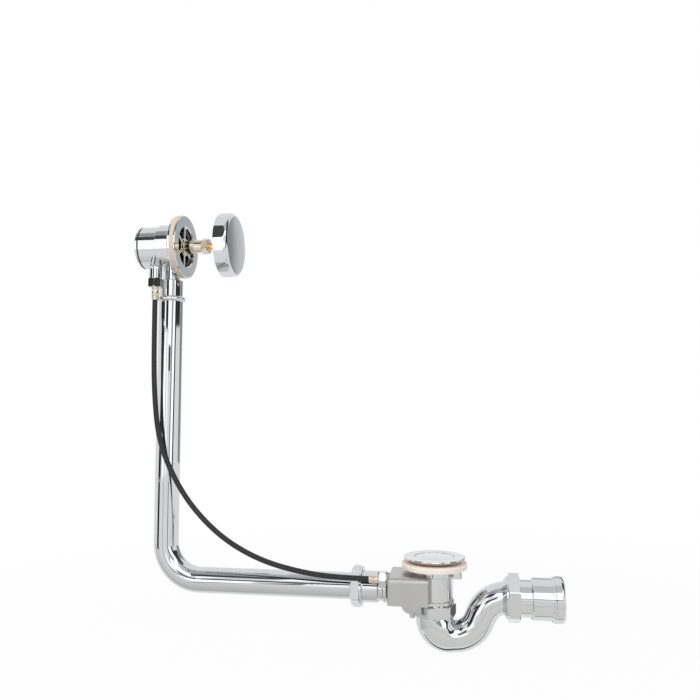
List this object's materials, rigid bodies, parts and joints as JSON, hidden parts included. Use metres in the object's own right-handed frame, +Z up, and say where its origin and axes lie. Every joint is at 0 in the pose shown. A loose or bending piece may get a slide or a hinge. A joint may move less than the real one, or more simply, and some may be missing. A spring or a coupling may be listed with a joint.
{
  "type": "bath waste and overflow",
  "caption": "Exposed chrome bath waste and overflow: a turn knob works a pop-up plug through a cable, with a bent overflow pipe and a P trap.",
  "frame": {"origin": "on the waste's axis, at the underside of its flange, where it seats on the bath floor", "axes": "+Z up along the waste's axis, +X from the overflow to the trap's outlet, -Y to the side with the cable"},
  "size_m": [0.5372, 0.084, 0.5472],
  "materials": {
    "chrome": "polished plating",
    "satin_grey": "satin plating",
    "nickel": "bright nickel",
    "brass": "machined",
    "steel": "zinc plated",
    "cream_rubber": "smooth moulded",
    "brown_rubber": "smooth moulded",
    "black_rubber": "matt",
    "cable_black": "smooth extruded"
  },
  "bodies": {
    "frame": {"overflow_body": "chrome", "overflow_rear_cap": "chrome", "overflow_grid": "chrome", "upper_cable_nut": "chrome", "lower_cable_nut": "chrome", "overflow_pipe": "chrome", "union_nut": "chrome", "inlet_connector": "chrome", "waste_body": "chrome", "waste_flange": "chrome", "trap_nut": "chrome", "trap_bend": "chrome", "outlet_nut": "chrome", "outlet_coupling": "chrome", "outlet_ring": "chrome", "lever_housing": "satin_grey", "spindle_sleeve": "nickel", "upper_ferrule": "nickel", "lower_ferrule": "nickel", "lever_pin": "steel", "stop_screw": "steel", "union_slip_ring": "steel", "overflow_washer": "cream_rubber", "waste_washer": "cream_rubber", "flange_seal": "brown_rubber", "rear_cap_seal": "black_rubber", "upper_pipe_seal": "black_rubber", "union_seal": "black_rubber", "inlet_gasket": "black_rubber", "trap_washer": "black_rubber", "outlet_washer": "black_rubber", "outlet_seal": "black_rubber", "cable_sheath": "cable_black"},
    "knob_body": {"knob": "chrome", "spindle": "brass", "crank": "brass", "crank_screw": "steel", "knob_grub_screw": "steel"},
    "upper_wire": {"upper_wire_end": "steel"},
    "lower_wire": {"lower_wire_end": "steel"},
    "lever_body": {"lever": "brass"},
    "plug_body": {"plug": "chrome", "plug_seal": "black_rubber", "plug_stem": "brass", "stem_foot": "brass"}
  },
  "joints": [
    {"name": "knob_turn", "type": "hinge", "parent": "frame", "child": "knob_body", "pos_m": [-0.3, 0, 0.395], "axis": [-1, 0, 0], "range_deg": [0, 45]},
    {"name": "upper_wire_pull", "type": "slide", "parent": "frame", "child": "upper_wire", "axis": [0, 0, 1], "range_m": [0, 0.01782]},
    {"name": "lower_wire_pull", "type": "slide", "parent": "frame", "child": "lower_wire", "axis": [-1, 0, 0], "range_m": [0, 0.01782]},
    {"name": "lever_rock", "type": "hinge", "parent": "frame", "child": "lever_body", "pos_m": [-0.027, 0, -0.0475], "axis": [0, -1, 0], "range_deg": [0, 38.79]},
    {"name": "plug_lift", "type": "slide", "parent": "frame", "child": "plug_body", "axis": [0, 0, 1], "range_m": [0, 0.01396]}
  ],
  "couplings": [
    {"joint": "upper_wire_pull", "follows": "knob_turn", "m_per_rad": 0.022678},
    {"joint": "lower_wire_pull", "follows": "knob_turn", "m_per_rad": 0.022678},
    {"joint": "lever_rock", "follows": "knob_turn", "ratio": 0.86187},
    {"joint": "plug_lift", "follows": "knob_turn", "m_per_rad": 0.017756}
  ]
}
